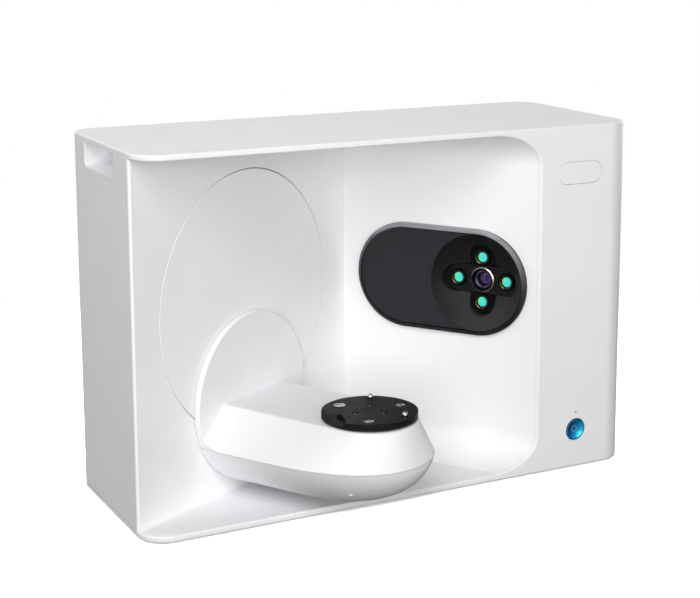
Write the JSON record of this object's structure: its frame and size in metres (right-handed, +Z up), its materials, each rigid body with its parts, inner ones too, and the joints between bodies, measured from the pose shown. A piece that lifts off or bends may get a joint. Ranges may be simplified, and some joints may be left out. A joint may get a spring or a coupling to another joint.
{
  "type": "desktop 3d scanner",
  "caption": "Open-fronted desktop 3D scanner: a motorised arm swings on the left inner wall and carries a turntable under a camera head on the right inner wall.",
  "frame": {"origin": "centre of the bounding box on the ground plane under the feet", "axes": "+X along the width, to the right seen from the front; +Y from the open front to the rear cover; +Z up"},
  "size_m": [0.505, 0.2742, 0.342],
  "materials": {
    "white_shell": "satin moulded white",
    "inner_white": "satin moulded white",
    "head_dark": "satin charcoal",
    "black_plastic": "satin black",
    "projector_metal": "bright coated ring with dark stepped throat",
    "coated_lens": "green to cyan coated glass",
    "projector_lens": "violet coated glass",
    "blue_metal": "glossy metallic blue",
    "status_lens": "clear pale window",
    "foot_rubber": "matt dark grey",
    "belt_rubber": "matt black",
    "bright_steel": "bright machined",
    "frame_aluminium": "plain sheet and machined",
    "gear_brass": "machined",
    "board_green": "circuit board green"
  },
  "bodies": {
    "housing": {"base_panel": "white_shell", "top_panel": "white_shell", "left_side_shell": "white_shell", "column_shell": "white_shell", "rear_cover": "white_shell", "left_grip": "white_shell", "right_grip": "white_shell", "swing_wall": "inner_white", "camera_wall": "inner_white", "foot_front_left": "foot_rubber", "foot_front_right": "foot_rubber", "foot_rear_left": "foot_rubber", "foot_rear_right": "foot_rubber", "badge_inset": "white_shell", "button_bezel": "white_shell", "status_light": "status_lens", "power_inlet": "black_plastic", "data_port": "bright_steel", "main_board": "board_green", "power_supply": "frame_aluminium", "swing_frame": "frame_aluminium", "swing_bearing": "bright_steel", "swing_motor": "black_plastic", "head_housing": "head_dark", "head_face": "head_dark", "optics_block": "black_plastic", "lens_bar": "black_plastic", "camera_barrel_left": "black_plastic", "camera_barrel_right": "black_plastic", "camera_barrel_top": "black_plastic", "camera_barrel_bottom": "black_plastic", "camera_lens_left": "coated_lens", "camera_lens_right": "coated_lens", "camera_lens_top": "coated_lens", "camera_lens_bottom": "coated_lens", "projector_barrel": "projector_metal", "projector_lens": "projector_lens"},
    "swing_arm": {"swing_disc": "inner_white", "swing_hub": "bright_steel", "swing_gear": "gear_brass", "arm_upper_shell": "white_shell", "arm_lower_shell": "white_shell", "arm_frame": "frame_aluminium", "plate_motor": "black_plastic", "plate_bearing": "bright_steel", "plate_belt": "belt_rubber"},
    "swing_drive": {"swing_pinion": "bright_steel"},
    "turntable": {"turntable_plate": "black_plastic", "plate_magnet_1": "bright_steel", "plate_magnet_2": "bright_steel", "plate_magnet_3": "bright_steel", "plate_pin_1": "bright_steel", "plate_pin_2": "bright_steel", "plate_spindle": "bright_steel", "plate_pulley": "frame_aluminium"},
    "plate_drive": {"plate_motor_shaft": "bright_steel", "plate_motor_pulley": "frame_aluminium"},
    "power_button": {"power_button": "blue_metal"}
  },
  "joints": [
    {"name": "arm_swing", "type": "hinge", "parent": "housing", "child": "swing_arm", "pos_m": [-0.11448, 0.04241, 0.1842], "axis": [0.4871, -0.8733, 0], "range_deg": [-45, 45]},
    {"name": "swing_drive", "type": "hinge", "parent": "housing", "child": "swing_drive", "pos_m": [-0.11448, 0.04241, 0.2542], "axis": [0.4871, -0.8733, 0], "range_deg": [-135, 135]},
    {"name": "plate_spin", "type": "hinge", "parent": "swing_arm", "child": "turntable", "pos_m": [-0.04726, -0.07811, 0], "axis": [0, 0, 1], "continuous": true},
    {"name": "plate_drive", "type": "hinge", "parent": "swing_arm", "child": "plate_drive", "pos_m": [-0.08428, -0.01174, 0], "axis": [0, 0, 1], "continuous": true},
    {"name": "power_press", "type": "slide", "parent": "housing", "child": "power_button", "axis": [0, 1, 0], "range_m": [0, 0.0012], "stiffness_N_per_m": 600}
  ],
  "couplings": [
    {"joint": "swing_drive", "follows": "arm_swing", "ratio": -3},
    {"joint": "plate_drive", "follows": "plate_spin", "ratio": 2.4444}
  ]
}
